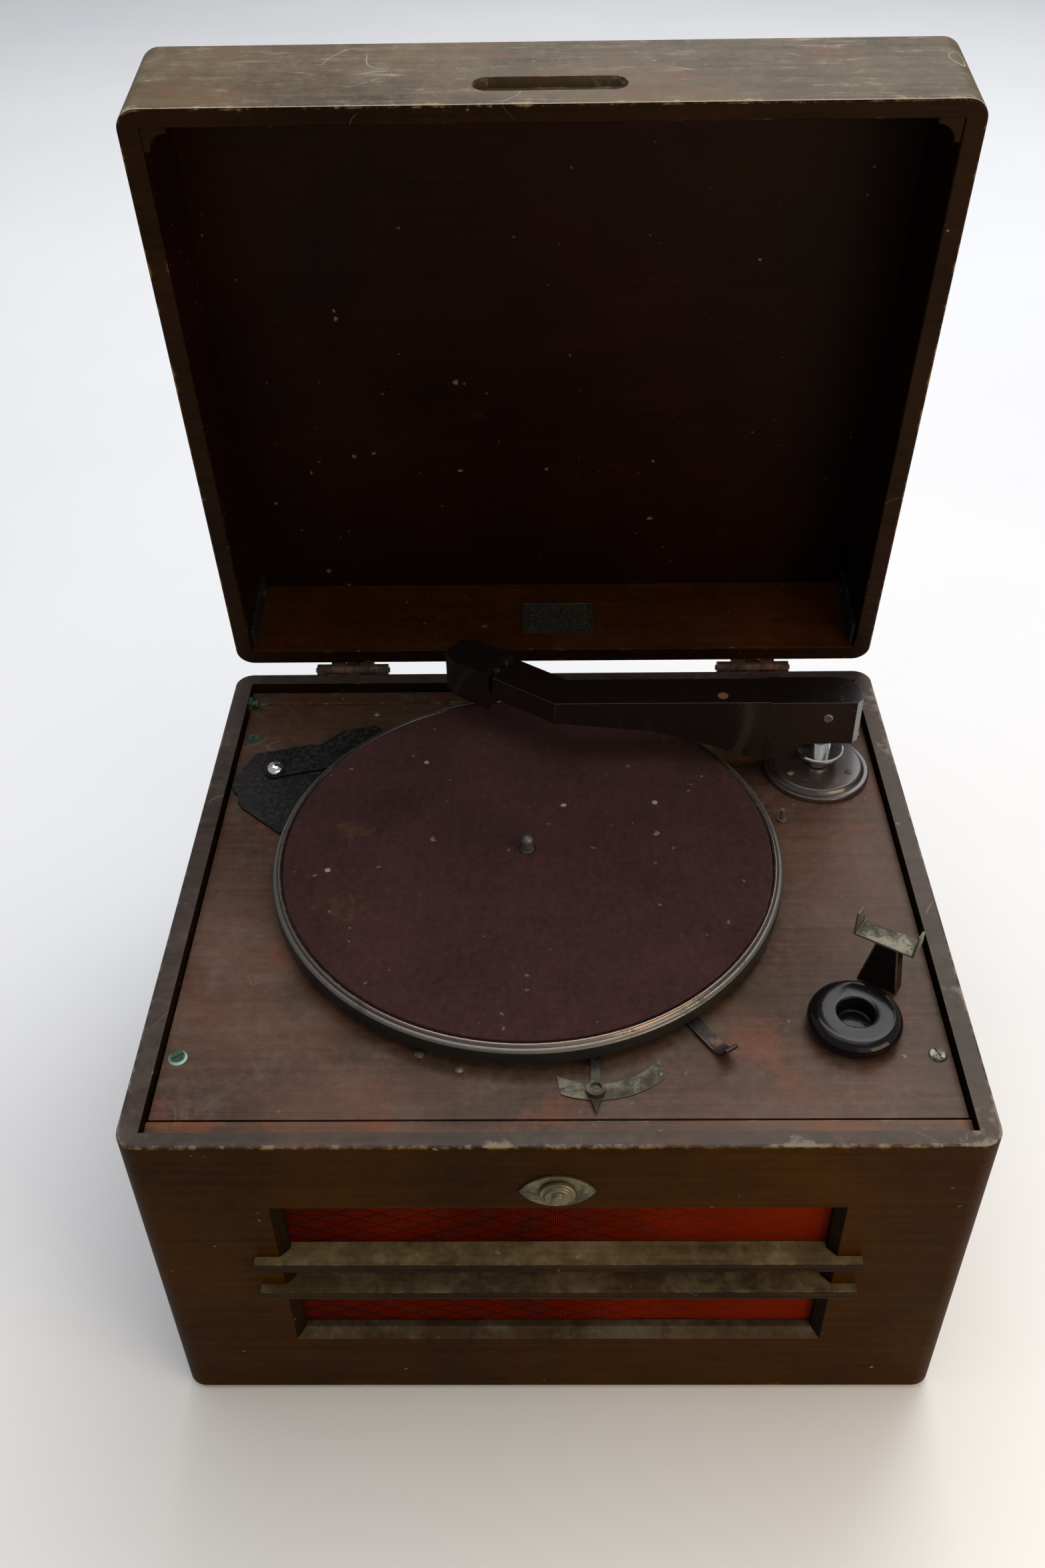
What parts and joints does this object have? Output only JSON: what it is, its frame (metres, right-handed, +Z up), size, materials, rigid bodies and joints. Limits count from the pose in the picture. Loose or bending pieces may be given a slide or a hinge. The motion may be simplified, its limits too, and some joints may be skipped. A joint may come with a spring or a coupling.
{
  "type": "gramophone cabinet",
  "caption": "Wooden table gramophone cabinet with a hinged lid, turntable on a motor board, pick-up arm with rest, needle cup, and a slatted loudspeaker grille.",
  "frame": {"origin": "on the floor under the middle of the whole object's extent, with the lid open", "axes": "+X to the object's right seen from the grille, +Y to the back, +Z up"},
  "size_m": [0.44, 0.4794, 0.6427],
  "materials": {
    "walnut": "worn dark stained veneer under thin old lacquer",
    "softwood": "bare unfinished wood",
    "board": "worn reddish brown stained board",
    "slat": "dusty moulding with old lacquer",
    "cloth": "red loudspeaker cloth with a fine lattice",
    "felt": "plum felt with lint",
    "platter_metal": "dark grey enamel, worn at the edge",
    "bakelite": "black moulded bakelite",
    "bright": "old plated metal",
    "bronze": "dull bronze",
    "hardware": "tarnished brass",
    "dark_metal": "grey metal with old grease",
    "chassis": "dull metal",
    "iron": "dark iron",
    "paper": "pressed paper",
    "valve_glass": "clear glass with silvery getter",
    "rubber": "hard rubber"
  },
  "bodies": {
    "cabinet": {"front_panel": "walnut", "side_panels": "walnut", "corner_posts": "walnut", "rear_rail": "walnut", "bottom_board": "softwood", "back_panel": "softwood", "glue_blocks": "softwood", "deck_sills": "walnut", "motor_board": "board", "board_screws": "hardware", "feet": "rubber", "baffle_board": "softwood", "grille_cloth": "cloth", "upper_slat": "slat", "lower_slat": "slat", "escutcheon_plate": "bronze", "volume_control": "chassis", "speaker_frame": "chassis", "speaker_cone": "paper", "speaker_magnet": "iron", "amplifier_chassis": "chassis", "valves": "valve_glass", "mains_transformer": "iron", "mains_inlet": "bakelite", "motor_frame": "chassis", "motor_stator": "iron", "wood_screws": "hardware", "speed_scale": "bronze", "autostop_plate": "dark_metal", "autostop_nut": "bright", "arm_base": "bakelite", "needle_cup": "bakelite", "arm_rest_post": "bakelite", "arm_rest_cradle": "dark_metal", "stay_lug": "hardware", "hinge_body_leaves": "hardware", "hinge_pins": "hardware"},
    "lid": {"lid_front_wall": "walnut", "lid_side_walls": "walnut", "lid_rear_wall": "walnut", "lid_top_panel": "walnut", "lid_corner_posts": "walnut", "lid_corner_blocks": "walnut", "stay_channels": "dark_metal", "lid_plaque": "bronze", "hinge_lid_leaves": "hardware"},
    "platter": {"turntable": "platter_metal", "turntable_mat": "felt", "spindle": "bright", "motor_rotor": "chassis"},
    "governor": {"governor": "hardware"},
    "arm_post": {"arm_turret": "bright"},
    "arm": {"arm_tube": "bakelite", "lift_pin": "bright"},
    "head": {"pickup_head": "bakelite", "needle": "bright"},
    "knob": {"volume_knob": "bronze"},
    "speed_control": {"speed_lever": "bronze"},
    "start_control": {"start_lever": "dark_metal"},
    "stop_trip": {"autostop_lever": "dark_metal"}
  },
  "joints": [
    {"name": "lid_hinge", "type": "hinge", "parent": "cabinet", "child": "lid", "pos_m": [0, 0.16401, 0.238], "axis": [-1, 0, 0], "range_deg": [-81, 0]},
    {"name": "turntable_spin", "type": "hinge", "parent": "cabinet", "child": "platter", "pos_m": [-0.016, -0.02999, 0.231], "axis": [0, 0, 1], "continuous": true},
    {"name": "governor_spin", "type": "hinge", "parent": "cabinet", "child": "governor", "pos_m": [-0.016, -0.05229, 0.154], "axis": [1, 0, 0], "continuous": true},
    {"name": "arm_swing", "type": "hinge", "parent": "cabinet", "child": "arm_post", "pos_m": [0.17, 0.06051, 0.231], "axis": [0, 0, 1], "range_deg": [-4, 96]},
    {"name": "arm_lift", "type": "hinge", "parent": "arm_post", "child": "arm", "pos_m": [0.17, 0.06051, 0.284], "axis": [0, 1, 0], "range_deg": [0, 32]},
    {"name": "head_turn", "type": "hinge", "parent": "arm", "child": "head", "pos_m": [-0.03104, 0.08575, 0.288], "axis": [-0.8192, 0.5736, 0], "range_deg": [0, 150]},
    {"name": "volume_turn", "type": "hinge", "parent": "cabinet", "child": "knob", "pos_m": [0, -0.23349, 0.203], "axis": [0, 1, 0], "range_deg": [0, 270]},
    {"name": "speed_set", "type": "hinge", "parent": "cabinet", "child": "speed_control", "pos_m": [0.02088, -0.14838, 0.231], "axis": [0, 0, 1], "range_deg": [-13, 37]},
    {"name": "start_stop", "type": "hinge", "parent": "cabinet", "child": "start_control", "pos_m": [0.06405, -0.13545, 0.231], "axis": [0, 0, 1], "range_deg": [-14, 8]},
    {"name": "stop_trip_turn", "type": "hinge", "parent": "cabinet", "child": "stop_trip", "pos_m": [-0.1805, 0.05951, 0.231], "axis": [0, 0, 1], "range_deg": [-6, 6]}
  ],
  "couplings": [
    {"joint": "governor_spin", "follows": "turntable_spin", "ratio": -8}
  ]
}
